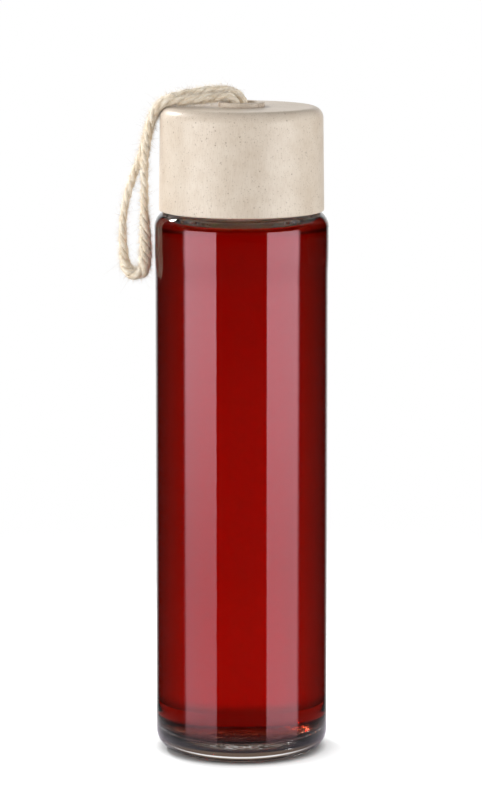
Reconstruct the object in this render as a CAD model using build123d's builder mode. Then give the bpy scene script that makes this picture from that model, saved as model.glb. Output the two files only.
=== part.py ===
from build123d import *
import os
from math import cos, pi, radians, sin, tan

# Glass drinking bottle with a screw lid in fibre-filled plastic and a doubled cotton carrying cord.
# Millimetres, +Z up. The origin is the middle of the circle that the bottle stands on.
# The cord comes out of the middle of the lid, goes over the lid's edge and hangs on the -X side.

# Glass body
body_radius = 31.0
body_wall = 1.9
heel_radius = 6.9
foot_width = 2.1
punt_height = 1.8
floor_thickness = 5.6
floor_dome = 0.8
inner_heel_radius = 7.5
shoulder_height = 196.9
shoulder_radius = 6.0
shoulder_wall = 4.4

# The body swells a little just below the shoulder, where the glass was turned in.
swell = 0.25
swell_length = 12.0
swell_band = 7.0

# Neck and rim. The neck's radius follows from the lid's, further down.
neck_wall = 3.0
neck_length = 21.8
neck_root_radius = 2.0
rim_rounding = 1.0

# The mouth's curve takes this share of the width between the neck's bore and the shoulder's curve.
mouth_share = 0.72

# Seal ring, lying on the rim
seal_thickness = 1.8
seal_overlap = 1.3
seal_inset = 0.5

# Threaded liner inside the lid
thread_depth = 1.5
thread_clearance = 0.4
liner_wall = 1.6
liner_roof = 1.6
liner_end_gap = 2.6
liner_edge = 0.5
rib_count = 24
rib_width = 1.6
rib_height = 2.15
liner_fit = 0.05

# Outer shell of the lid
lid_inset = 1.4
lid_draft = 0.45
lid_edge_radius = 4.1
lid_rim_rounding = 0.5
skirt_drop = 0.1
skirt_wall = 1.95
ledge_width = 2.3
knot_room_height = 9.1
knot_room_rounding = 1.2
roof_thickness = 2.8

# Grommet in the middle of the lid's top
grommet_radius = 8.3
grommet_height = 1.6
grommet_rounding = 0.4
grommet_stem_radius = 6.9
grommet_fit = 0.05
grommet_barb = 0.6
grommet_barb_height = 1.4
well_radius = 5.8
well_depth = 2.4
cord_hole_clearance = 0.8
cord_hole_rounding = 0.5

# Cotton cord and the knot that holds its two ends
cord_diameter = 3.0
knot_radius = 5.2
knot_wraps = 3
wrap_bulge = 1.1
knot_clearance = 0.3

# An arc of the cord takes this share of the shorter run on each side of its corner.
run_share = 0.45

# Heights, from the base up
rim_height = shoulder_height + neck_length
seal_top = rim_height + seal_thickness
ledge_height = seal_top + liner_roof
roof_underside = ledge_height + knot_room_height
lid_top = roof_underside + roof_thickness
lid_bottom = shoulder_height - skirt_drop
grommet_top = lid_top + grommet_height
barb_bottom = roof_underside - grommet_barb_height
knot_top = barb_bottom - knot_clearance
knot_bottom = ledge_height + knot_clearance
knot_height = knot_top - knot_bottom

# Radii that follow from the walls, from the body in to the lid, its liner and the neck
lid_bottom_radius = body_radius - lid_inset
lid_top_radius = lid_bottom_radius - lid_draft
skirt_bore_radius = lid_bottom_radius - skirt_wall
knot_room_radius = skirt_bore_radius - ledge_width
liner_radius = skirt_bore_radius - rib_height
liner_bore_radius = liner_radius - liner_wall
neck_radius = liner_bore_radius - thread_clearance - thread_depth
neck_bore_radius = neck_radius - neck_wall
body_bore_radius = body_radius - body_wall
foot_outer_radius = body_radius - heel_radius
foot_inner_radius = foot_outer_radius - foot_width
swell_radius = body_radius + swell
swell_top = shoulder_height - shoulder_radius
swell_full = swell_top - swell_band
swell_start = swell_full - swell_length
crest_radius = swell_radius - shoulder_radius
inner_crest = shoulder_height - shoulder_wall
inner_shoulder_radius = swell_radius - body_wall - crest_radius
inner_root_radius = mouth_share * (crest_radius - neck_bore_radius)
floor_height = punt_height + floor_thickness
floor_edge_height = floor_height - floor_dome
cord_radius = cord_diameter / 2
cord_hole_radius = cord_diameter + cord_hole_clearance
wrap_radius = knot_radius - wrap_bulge


# Glass bottle: one revolved outline, up the outside from under the base and down the inside.
with BuildPart() as glass_bottle:
    with BuildSketch(Plane.XZ):
        with BuildLine():
            punt = TangentArc((0, punt_height), (foot_inner_radius, 0), tangent=(1, 0))
            foot = Line(punt @ 1, (foot_outer_radius, 0))
            heel = TangentArc(foot @ 1, (body_radius, heel_radius), tangent=(1, 0))
            side = Line(heel @ 1, (body_radius, swell_start))
            flare = Spline(side @ 1, (swell_radius, swell_full), tangents=[(0, 1), (0, 1)])
            band = Line(flare @ 1, (swell_radius, swell_top))
            shoulder = TangentArc(band @ 1, (crest_radius, shoulder_height), tangent=(0, 1))
            crest = Line(shoulder @ 1, (neck_radius + neck_root_radius, shoulder_height))
            root = TangentArc(crest @ 1, (neck_radius, shoulder_height + neck_root_radius), tangent=(-1, 0))
            neck = Line(root @ 1, (neck_radius, rim_height - rim_rounding))
            rim_out = TangentArc(neck @ 1, (neck_radius - rim_rounding, rim_height), tangent=(0, 1))
            rim = Line(rim_out @ 1, (neck_bore_radius + rim_rounding, rim_height))
            rim_in = TangentArc(rim @ 1, (neck_bore_radius, rim_height - rim_rounding), tangent=(-1, 0))
            bore = Line(rim_in @ 1, (neck_bore_radius, inner_crest + inner_root_radius))
            mouth = TangentArc(bore @ 1, (neck_bore_radius + inner_root_radius, inner_crest), tangent=(0, -1))
            inner_top = Line(mouth @ 1, (crest_radius, inner_crest))
            inner_shoulder = TangentArc(
                inner_top @ 1,
                (crest_radius + inner_shoulder_radius, inner_crest - inner_shoulder_radius),
                tangent=(1, 0),
            )
            inner_band = Line(inner_shoulder @ 1, (swell_radius - body_wall, swell_full))
            inner_flare = Spline(inner_band @ 1, (body_bore_radius, swell_start), tangents=[(0, -1), (0, -1)])
            inner_side = Line(inner_flare @ 1, (body_bore_radius, floor_edge_height + inner_heel_radius))
            inner_heel = TangentArc(
                inner_side @ 1,
                (body_bore_radius - inner_heel_radius, floor_edge_height),
                tangent=(0, -1),
            )
            floor = TangentArc((0, floor_height), inner_heel @ 1, tangent=(1, 0))
            Line(floor @ 0, punt @ 0)
        make_face()
    revolve(axis=Axis.Z)
glass_bottle.part.label = "glass_bottle"


# Silicone ring: flat, a little wider than the rim on both sides.
with BuildPart() as seal_ring:
    with BuildSketch(Plane.XY.offset(rim_height)):
        Circle(neck_radius + seal_overlap)
        Circle(neck_bore_radius - seal_inset, mode=Mode.SUBTRACT)
    extrude(amount=seal_thickness)
seal_ring.part.label = "seal_ring"


# Threaded liner: a cup over the neck, with a flange under the shell's ledge and ribs along its skirt.
liner_bottom = shoulder_height + liner_end_gap
flange_radius = skirt_bore_radius - liner_fit
with BuildPart() as inner_cap:
    with BuildSketch(Plane.XZ):
        with BuildLine():
            Polyline(
                (0, ledge_height),
                (flange_radius, ledge_height),
                (flange_radius, seal_top),
                (liner_radius, seal_top),
                (liner_radius, liner_bottom),
                (liner_bore_radius, liner_bottom),
                (liner_bore_radius, seal_top),
                (0, seal_top),
                close=True,
            )
        make_face()
    revolve(axis=Axis.Z)
    liner_end = inner_cap.edges().filter_by(GeomType.CIRCLE).group_by(Axis.Z)[0]
    chamfer(liner_end.sort_by(SortBy.RADIUS)[0], liner_edge)
    rib_root = liner_radius - liner_wall / 2
    with BuildSketch(Plane.XY.offset(liner_bottom + liner_edge)):
        with PolarLocations((rib_root + flange_radius) / 2, rib_count):
            Rectangle(flange_radius - rib_root, rib_width)
        Circle(flange_radius, mode=Mode.INTERSECT)
    extrude(amount=seal_top - liner_bottom - liner_edge)
inner_cap.part.label = "inner_cap"


# Lid shell: tapered outside, a straight bore up to a ledge for the liner, and the knot's room above it.
stem_hole_radius = grommet_stem_radius + grommet_fit
with BuildPart() as lid_shell:
    with BuildSketch(Plane.XZ):
        with BuildLine():
            Polyline(
                (stem_hole_radius, lid_top),
                (lid_top_radius, lid_top),
                (lid_bottom_radius, lid_bottom),
                (skirt_bore_radius, lid_bottom),
                (skirt_bore_radius, ledge_height),
                (knot_room_radius, ledge_height),
                (knot_room_radius, roof_underside),
                (stem_hole_radius, roof_underside),
                close=True,
            )
        make_face()
    revolve(axis=Axis.Z)
    rings = lid_shell.edges().filter_by(GeomType.CIRCLE)
    top_edge = rings.group_by(Axis.Z)[-1].sort_by(SortBy.RADIUS)[-1]
    fillet(top_edge, lid_edge_radius)
    rings = lid_shell.edges().filter_by(GeomType.CIRCLE)
    fillet(rings.group_by(Axis.Z)[0], lid_rim_rounding)
    roof_face = lid_shell.faces().filter_by(GeomType.PLANE).sort_by(Axis.Z)[-2]
    roof_corner = roof_face.edges().filter_by(GeomType.CIRCLE).sort_by(SortBy.RADIUS)[-1]
    fillet(roof_corner, knot_room_rounding)
lid_shell.part.label = "lid_shell"


# Grommet: a flange on the lid, a stem through the roof, a barb under it, and a well that narrows to the
# cord's hole.
well_floor = grommet_top - well_depth
with BuildPart() as cord_grommet:
    with BuildSketch(Plane.XZ):
        with BuildLine():
            Polyline(
                (cord_hole_radius, barb_bottom),
                (grommet_stem_radius, barb_bottom),
                (grommet_stem_radius + grommet_barb, roof_underside - grommet_barb),
                (grommet_stem_radius + grommet_barb, roof_underside),
                (grommet_stem_radius, roof_underside),
                (grommet_stem_radius, lid_top),
                (grommet_radius, lid_top),
                (grommet_radius, grommet_top),
                (well_radius, grommet_top),
                (well_radius, well_floor),
                (cord_hole_radius, well_floor),
                close=True,
            )
        make_face()
    revolve(axis=Axis.Z)
    lip_edges = cord_grommet.edges().filter_by(GeomType.CIRCLE).group_by(Axis.Z)[-1]
    fillet(lip_edges, grommet_rounding)
    hole_wall = cord_grommet.faces().filter_by(GeomType.CYLINDER).sort_by(SortBy.RADIUS)[0]
    fillet(hole_wall.edges().filter_by(GeomType.CIRCLE), cord_hole_rounding)
cord_grommet.part.label = "cord_grommet"


# Knot: three wraps of the cord drawn tight, shown as a barrel with a bulge for each wrap.
with BuildPart() as cord_knot:
    with BuildSketch(Plane.XZ):
        with BuildLine():
            Line((0, knot_bottom), (wrap_radius, knot_bottom))
            for wrap in range(knot_wraps):
                low = knot_bottom + knot_height * wrap / knot_wraps
                high = knot_bottom + knot_height * (wrap + 1) / knot_wraps
                ThreePointArc((wrap_radius, low), (knot_radius, (low + high) / 2), (wrap_radius, high))
            Polyline((wrap_radius, knot_top), (0, knot_top), (0, knot_bottom))
        make_face()
    revolve(axis=Axis.Z)
cord_knot.part.label = "cord_knot"


# Cord: from the knot up through the grommet, in a low hump over its ring, over the lid's left edge, down
# to the fold at the bottom of the loop, and back on the far side. The route's corners are listed by hand.
cord_points = [
    (-1.25, -1.5, knot_top),
    (-1.25, -1.5, 237.9),
    (-9.8, -1.65, 237.3),
    (-18.0, -1.75, 236.1),
    (-26.9, -1.75, 236.2),
    (-30.5, -1.75, 233.2),
    (-33.3, -1.75, 226.0),
    (-34.8, -1.75, 214.0),
    (-34.8, -1.70, 199.5),
    (-34.4, -1.50, 184.0),
    (-34.5, -0.90, 173.9),
    (-41.4, 0.60, 173.9),
    (-42.8, 1.30, 184.0),
    (-42.3, 1.60, 198.0),
    (-38.8, 1.75, 209.0),
    (-34.9, 1.75, 218.6),
    (-33.3, 1.75, 226.0),
    (-30.5, 1.75, 233.2),
    (-26.9, 1.80, 236.2),
    (-19.6, 2.00, 238.2),
    (-11.2, 1.70, 239.7),
    (-3.6, 1.60, 239.6),
    (0.9, 1.40, 236.4),
    (0.75, 1.40, 232.9),
    (0.75, 1.40, knot_top),
]
route = [Vector(*point) for point in cord_points]
cord_radii = []
for before, corner, after in zip(route, route[1:], route[2:]):
    turn = (corner - before).get_angle(after - corner)
    shorter_run = min((corner - before).length, (after - corner).length)
    cord_radii.append(run_share * shorter_run / tan(radians(turn / 2)))

with BuildPart() as cord_loop:
    with BuildLine():
        cord_path = FilletPolyline(*cord_points, radius=cord_radii)
    with BuildSketch(Plane(origin=cord_path @ 0, z_dir=cord_path % 0)):
        Circle(cord_radius)
    sweep(path=cord_path)
cord_loop.part.label = "cord_loop"

cord_length = cord_path.length
section = pi * cord_radius**2
print("cord length", round(cord_length, 1), "volume over section times length",
      round(cord_loop.part.volume / (section * cord_length), 4))
print("cord arc radii in diameters", [round(radius / cord_diameter, 2) for radius in cord_radii])

# The least gap between the two legs of the loop, on points a quarter of a diameter apart along the cord.
# Points nearer to each other than four diameters along the cord are on one leg or on the fold.
stations_per_diameter = 4
own_leg_diameters = 4
steps = int(stations_per_diameter * cord_length / cord_diameter)
stations = [cord_path @ (step / steps) for step in range(steps + 1)]
gaps = [
    (near - far).length - cord_diameter
    for index, near in enumerate(stations)
    for far in stations[index + own_leg_diameters * stations_per_diameter:]
]
print("least gap between the cord's legs", round(min(gaps), 2))

os.makedirs("parts", exist_ok=True)
for piece in (glass_bottle, seal_ring, inner_cap, lid_shell, cord_grommet, cord_knot, cord_loop):
    print(piece.part.label, "volume", round(piece.part.volume, 1))
export_step(glass_bottle.part, "parts/glass_bottle.step")
export_step(seal_ring.part, "parts/seal_ring.step")
export_step(inner_cap.part, "parts/inner_cap.step")
export_step(lid_shell.part, "parts/lid_shell.step")
export_step(cord_grommet.part, "parts/cord_grommet.step")
export_step(cord_knot.part, "parts/cord_knot.step")
export_step(cord_loop.part, "parts/cord_loop.step")
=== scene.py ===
"""A glass bottle of clear red drink with a screw lid and a carrying cord, dressed around its CAD model.

The lid is beige plastic filled with plant fibre and the cord is doubled cotton. Sizes in the classes are in
millimetres and each mesh is written in metres. +Z is up, the bottle's axis is the Z axis, the cord hangs on
the -X side and the camera looks along +Y.
"""

import logging
import math
from dataclasses import dataclass
from enum import Enum
from typing import Any, Callable, Iterable, Optional, Sequence, Union

import bpy
import numpy as np
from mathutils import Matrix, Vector


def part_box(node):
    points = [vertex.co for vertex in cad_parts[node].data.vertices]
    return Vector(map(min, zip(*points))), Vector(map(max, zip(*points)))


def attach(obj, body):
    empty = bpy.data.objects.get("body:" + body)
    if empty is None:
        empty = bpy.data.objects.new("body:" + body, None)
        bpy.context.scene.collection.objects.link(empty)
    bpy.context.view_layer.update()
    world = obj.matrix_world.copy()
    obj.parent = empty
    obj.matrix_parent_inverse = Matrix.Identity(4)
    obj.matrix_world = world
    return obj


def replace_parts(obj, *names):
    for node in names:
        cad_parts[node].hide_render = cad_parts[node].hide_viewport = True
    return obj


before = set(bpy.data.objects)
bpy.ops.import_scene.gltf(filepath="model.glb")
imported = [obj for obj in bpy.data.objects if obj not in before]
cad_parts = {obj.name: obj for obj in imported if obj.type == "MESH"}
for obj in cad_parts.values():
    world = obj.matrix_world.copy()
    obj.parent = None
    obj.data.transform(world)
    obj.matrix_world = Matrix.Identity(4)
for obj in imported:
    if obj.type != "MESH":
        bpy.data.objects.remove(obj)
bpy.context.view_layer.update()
LOG = logging.getLogger("glass_bottle")

Triple = tuple[float, float, float]
Colour = tuple[float, float, float]
Span = tuple[float, float]
Corner = tuple[float, ...]
Number = Union[float, "Signal"]
Shaper = Callable[[np.ndarray, np.ndarray, np.ndarray], np.ndarray]

MM = 0.001
TURN = 2.0 * math.pi
# Distances in millimetres: near, a hair apart, and one and the same place.
NEAR = 0.1
HAIR = 0.01
SAME_PLACE = 1e-4
# An arc of an outline has this many points, and so many more for each radian that it turns.
ARC_POINTS = 3
ARC_POINTS_A_RADIAN = 9.0
WHITE: Colour = (1.0, 1.0, 1.0)
BLACK: Colour = (0.0, 0.0, 0.0)


def reach(node: str) -> Triple:
    """Measures a turned CAD node.

    Args:
        node: the CAD node's name.

    Returns:
        Its outer radius, lowest height and highest height, in millimetres.
    """
    low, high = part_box(node)
    return high.x / MM, low.z / MM, high.z / MM


def smooth(share: np.ndarray) -> np.ndarray:
    """Eases 0 to 1: share * share * (3 - 2 * share), held at 0 and 1 outside that range."""
    held = np.clip(share, 0.0, 1.0)
    return held * held * (3.0 - 2.0 * held)


def sine(degrees: float) -> float:
    """Sine of an angle in degrees."""
    return math.sin(math.radians(degrees))


# Meshes


def straight(start: np.ndarray, end: np.ndarray, step: float) -> np.ndarray:
    """Points from start up to, but without, end, closest to each other at both ends.

    They lie at start + (end - start) * (1 - cos(pi * t)) / 2, with t in even steps from 0 to 1.

    Args:
        start: radius and height of the first point.
        end: radius and height that the stretch leads to.
        step: mean distance between two points.

    Returns:
        The points, one a row.
    """
    count = max(2, math.ceil(float(np.linalg.norm(end - start)) / step))
    share = (1.0 - np.cos(np.pi * np.arange(count) / count)) / 2.0
    return start + share[:, None] * (end - start)


def rounded(corners: Sequence[Corner], step: float = 1.4, closed: bool = False) -> np.ndarray:
    """Draws an outline through corners, each cut by an arc that touches both of its sides.

    An arc's centre lies on the bisector of its corner, and its points go round it in even steps.

    Args:
        corners: radius, height and fillet of each corner, and a fourth number where the stretch that leads to
            it has a step of its own.
        step: mean distance between two points of a straight stretch.
        closed: whether the last corner leads back to the first.

    Returns:
        Radius and height of each point, one a row.
    """
    places = np.array([corner[:2] for corner in corners], float)
    count = len(corners)
    arcs: list[np.ndarray] = []
    for index, corner in enumerate(corners):
        here = places[index]
        if not closed and index in (0, count - 1) or corner[2] <= 0.0:
            arcs.append(here[None, :])
            continue
        back = places[index - 1] - here
        ahead = places[(index + 1) % count] - here
        back, ahead = back / np.linalg.norm(back), ahead / np.linalg.norm(ahead)
        half = math.acos(float(np.clip(back @ ahead, -1.0, 1.0))) / 2.0
        bisector = (back + ahead) / np.linalg.norm(back + ahead)
        centre = here + bisector * corner[2] / math.sin(half)
        first = here + back * corner[2] / math.tan(half) - centre
        last = here + ahead * corner[2] / math.tan(half) - centre
        turn = math.atan2(first[0] * last[1] - first[1] * last[0], float(first @ last))
        angles = turn * np.linspace(0.0, 1.0, ARC_POINTS + round(abs(turn) * ARC_POINTS_A_RADIAN))[:, None]
        arcs.append(centre + first * np.cos(angles) + np.array([-first[1], first[0]]) * np.sin(angles))
    pieces = [arcs[0]]
    for index in range(1, count + closed):
        corner, arc = corners[index % count], arcs[index % count]
        lead = straight(pieces[-1][-1], arc[0], corner[3] if len(corner) > 3 else step)[1:]
        pieces += [lead] if closed and index == count else [lead, arc]
    return np.vstack(pieces)


def domed(outline: np.ndarray, level: float, edge: float, height: float) -> np.ndarray:
    """Lifts an outline's flat stretch into a dome, by height * (1 - (radius / edge) ** 2).

    Args:
        outline: radius and height of each point.
        level: height of the flat stretch.
        edge: radius at which the dome begins.
        height: how far the dome rises at the axis.

    Returns:
        The lifted outline.
    """
    flat = (outline[:, 0] < edge) & (np.abs(outline[:, 1] - level) < HAIR)
    lifted = outline.copy()
    lifted[flat, 1] += height * (1.0 - (outline[flat, 0] / edge) ** 2)
    return lifted


def grid_faces(rows: int, columns: int, closed_rows: bool) -> np.ndarray:
    """Four-cornered faces between the neighbouring points of a grid that closes across its columns.

    Args:
        rows: how many rows the grid has.
        columns: how many columns, the last of which meets the first.
        closed_rows: whether the last row meets the first as well.

    Returns:
        The faces, four corner numbers a row.
    """
    row, column = np.meshgrid(np.arange(rows - (not closed_rows)), np.arange(columns), indexing="ij")
    here, above = row * columns, (row + 1) % rows * columns
    beside = (column + 1) % columns
    corners = [here + column, here + beside, above + beside, above + column]
    return np.stack(corners, axis=-1).reshape(-1, 4)


def capped_faces(rows: int, columns: int) -> np.ndarray:
    """Faces of a grid that closes across its columns, with a fan to one more point at each end.

    Args:
        rows: how many rows the grid has.
        columns: how many columns, the last of which meets the first.

    Returns:
        The faces, four corner numbers a row. The two end points are numbered after the grid's own.
    """
    here = np.arange(columns)
    beside = (here + 1) % columns
    last = (rows - 1) * columns
    start = np.full(columns, rows * columns)
    fans = [[beside, here, start, start], [last + here, last + beside, start + 1, start + 1]]
    return np.vstack([grid_faces(rows, columns, False), *(np.stack(fan, axis=-1) for fan in fans)])


def solid(name: str, places: np.ndarray, faces: np.ndarray, body: str) -> bpy.types.Object:
    """Makes a smooth shaded piece from points and faces, turned so that its volume comes out positive.

    Args:
        name: the piece's name.
        places: the points in millimetres, one a row.
        faces: corner numbers, four a row, where a triangle repeats its last.
        body: the CAD body that the piece rides on.

    Returns:
        The piece, in the scene and riding.
    """
    a, b, c, d = (places[faces[:, corner]] for corner in range(4))
    volume = np.sum(np.cross(a, b) * c) + np.sum(np.cross(a, c) * d)
    ordered = faces[:, ::-1] if volume < 0.0 else faces
    rows = [tuple(dict.fromkeys(row)) for row in ordered.tolist()]
    mesh = bpy.data.meshes.new(name)
    mesh.from_pydata((places * MM).tolist(), [], rows)
    mesh.polygons.foreach_set("use_smooth", np.ones(len(rows), bool))
    piece = bpy.data.objects.new(name, mesh)
    bpy.context.scene.collection.objects.link(piece)
    LOG.info("%s: %d points, %d faces", name, len(places), len(rows))
    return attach(piece, body)


def turned(
    name: str,
    outline: np.ndarray,
    body: str,
    sides: int,
    closed: bool = False,
    shape: Optional[Shaper] = None,
) -> bpy.types.Object:
    """Turns an outline about the Z axis: x = r * cos(t), y = r * sin(t), z = height.

    Args:
        name: the piece's name.
        outline: radius and height of each point. Its ends lie on the axis unless it is closed.
        body: the CAD body that the piece rides on.
        sides: how many columns the turned grid has.
        closed: whether the outline is a ring that stays clear of the axis.
        shape: gives the radius of each grid point from its angle, radius and height.

    Returns:
        The piece, in the scene and riding.
    """
    ring = outline if closed else outline[1:-1]
    angle, radius = np.meshgrid(TURN * np.arange(sides) / sides, ring[:, 0])
    height = np.repeat(ring[:, 1:2], sides, axis=1)
    if shape is not None:
        radius = shape(angle, radius, height)
    places = np.stack([radius * np.cos(angle), radius * np.sin(angle), height], axis=-1).reshape(-1, 3)
    if closed:
        return solid(name, places, grid_faces(len(ring), sides, True), body)
    places = np.vstack([places, [0.0, 0.0, outline[0, 1]], [0.0, 0.0, outline[-1, 1]]])
    return solid(name, places, capped_faces(len(ring), sides), body)


def unit(vectors: np.ndarray) -> np.ndarray:
    """Vectors of length one in the same directions."""
    return vectors / np.linalg.norm(vectors, axis=-1, keepdims=True)


@dataclass(frozen=True)
class Track:
    """A smooth line in space with a direction and two square directions at each of its points.

    Args:
        places: the line's points in millimetres, one a row.
    """

    places: np.ndarray

    @property
    def ahead(self) -> np.ndarray:
        """Directions along the line, from the differences of neighbouring points."""
        return unit(np.gradient(self.places, axis=0))

    @property
    def across(self) -> np.ndarray:
        """Directions square to the line and to Y, which no line here runs along."""
        return unit(np.cross(self.ahead, [0.0, 1.0, 0.0]))

    @property
    def along(self) -> np.ndarray:
        """Distances from the line's start, in millimetres."""
        steps = np.linalg.norm(np.diff(self.places, axis=0), axis=1)
        return np.concatenate([[0.0], np.cumsum(steps)])

    def evenly(self, step: float) -> "Track":
        """Spaces the line's points evenly.

        Args:
            step: about how far apart the new points lie.

        Returns:
            The same line with the new points.
        """
        along = self.along
        stations = np.linspace(0.0, along[-1], round(along[-1] / step) + 1)
        parts = [np.interp(stations, along, self.places[:, axis]) for axis in range(3)]
        return Track(np.stack(parts, axis=-1))

    def beside(self, offset: np.ndarray, angle: np.ndarray) -> np.ndarray:
        """Points at a distance and an angle round the line: place + offset * (cos a * across + sin a * up).

        Args:
            offset: distance from the line, one a point, or a grid of them with a row for each point.
            angle: angle round the line, in the same form.

        Returns:
            The points, with one more dimension than offset.
        """
        places, across, ahead = self.places, self.across, self.ahead
        up = np.cross(across, ahead)
        if offset.ndim == 2:
            places, across, up = places[:, None], across[:, None], up[:, None]
        outward = np.cos(angle)[..., None] * across + np.sin(angle)[..., None] * up
        return places + offset[..., None] * outward


def keep_spaces(piece: bpy.types.Object, spaces: np.ndarray) -> None:
    """Stores each point's strand coordinates on a piece, for its material."""
    attribute = piece.data.attributes.new("strand_space", "FLOAT_VECTOR", "POINT")
    attribute.data.foreach_set("vector", spaces.astype(np.float32).ravel())


class Bundle:
    """Closed tubes that are gathered into one piece, with strand coordinates for their material."""

    def __init__(self) -> None:
        """Starts with no tube."""
        self.places: list[np.ndarray] = []
        self.faces: list[np.ndarray] = []
        self.spaces: list[np.ndarray] = []
        self.count = 0

    def add(self, track: Track, radius: np.ndarray, along: np.ndarray, shift: float = 0.0) -> None:
        """Lays a tube along a line, with a point at each end.

        A point's strand coordinates are (along, cos a + shift, sin a), with a its angle round the line.

        Args:
            track: the line.
            radius: the tube's radius, a row for each point of the line and a column for each side.
            along: distance from the strand's start at each point of the line.
            shift: what keeps its strand coordinates apart from other tubes'.
        """
        stations, sides = radius.shape
        around = TURN * np.arange(sides) / sides
        skin = track.beside(radius, np.broadcast_to(around, radius.shape)).reshape(-1, 3)
        space = np.broadcast_arrays(along[:, None], np.cos(around) + shift, np.sin(around))
        space = np.stack(space, axis=-1).reshape(-1, 3)
        self.places += [skin, track.places[:1], track.places[-1:]]
        self.spaces += [space, space[:1], space[-1:]]
        self.faces.append(self.count + capped_faces(stations, sides))
        self.count += len(skin) + 2

    def piece(self, name: str, material: bpy.types.Material) -> bpy.types.Object:
        """Makes the piece, which rides with the cord.

        Args:
            name: its name.
            material: its material, which reads the strand coordinates.

        Returns:
            The piece.
        """
        made = solid(name, np.vstack(self.places), np.vstack(self.faces), "cord")
        keep_spaces(made, np.vstack(self.spaces))
        made.data.materials.append(material)
        return made


# Node trees


class Signal:
    """A number that varies over a surface: a node's socket that takes part in Python sums."""

    def __init__(self, paint: "Paint", socket: bpy.types.NodeSocket) -> None:
        """Keeps the tree and the socket."""
        self.paint, self.socket = paint, socket

    def _sum(self, operation: str, *values: Number) -> "Signal":
        """One Math node on the given values."""
        return self.paint.signal("ShaderNodeMath", "Value", {"operation": operation}, dict(enumerate(values)))

    def __add__(self, other: Number) -> "Signal":
        """self + other"""
        return self._sum("ADD", self, other)

    def __sub__(self, other: Number) -> "Signal":
        """self - other"""
        return self._sum("SUBTRACT", self, other)

    def __rsub__(self, other: Number) -> "Signal":
        """other - self"""
        return self._sum("SUBTRACT", other, self)

    def __mul__(self, other: Number) -> "Signal":
        """self * other"""
        return self._sum("MULTIPLY", self, other)

    def __gt__(self, other: Number) -> "Signal":
        """1 where self is above other, else 0"""
        return self._sum("GREATER_THAN", self, other)

    __radd__, __rmul__ = __add__, __mul__

    def between(self, low: float, high: float) -> "Signal":
        """0 below low, 1 above high and a smooth step between them. It falls where low is above high."""
        inputs = {"Value": self, "From Min": low, "From Max": high}
        return self.paint.signal("ShaderNodeMapRange", "Result", {"interpolation_type": "SMOOTHSTEP"}, inputs)

    def past(self, low: float, high: float) -> "Signal":
        """The same step for a length, from low to high in millimetres."""
        return self.between(low * MM, high * MM)


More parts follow.
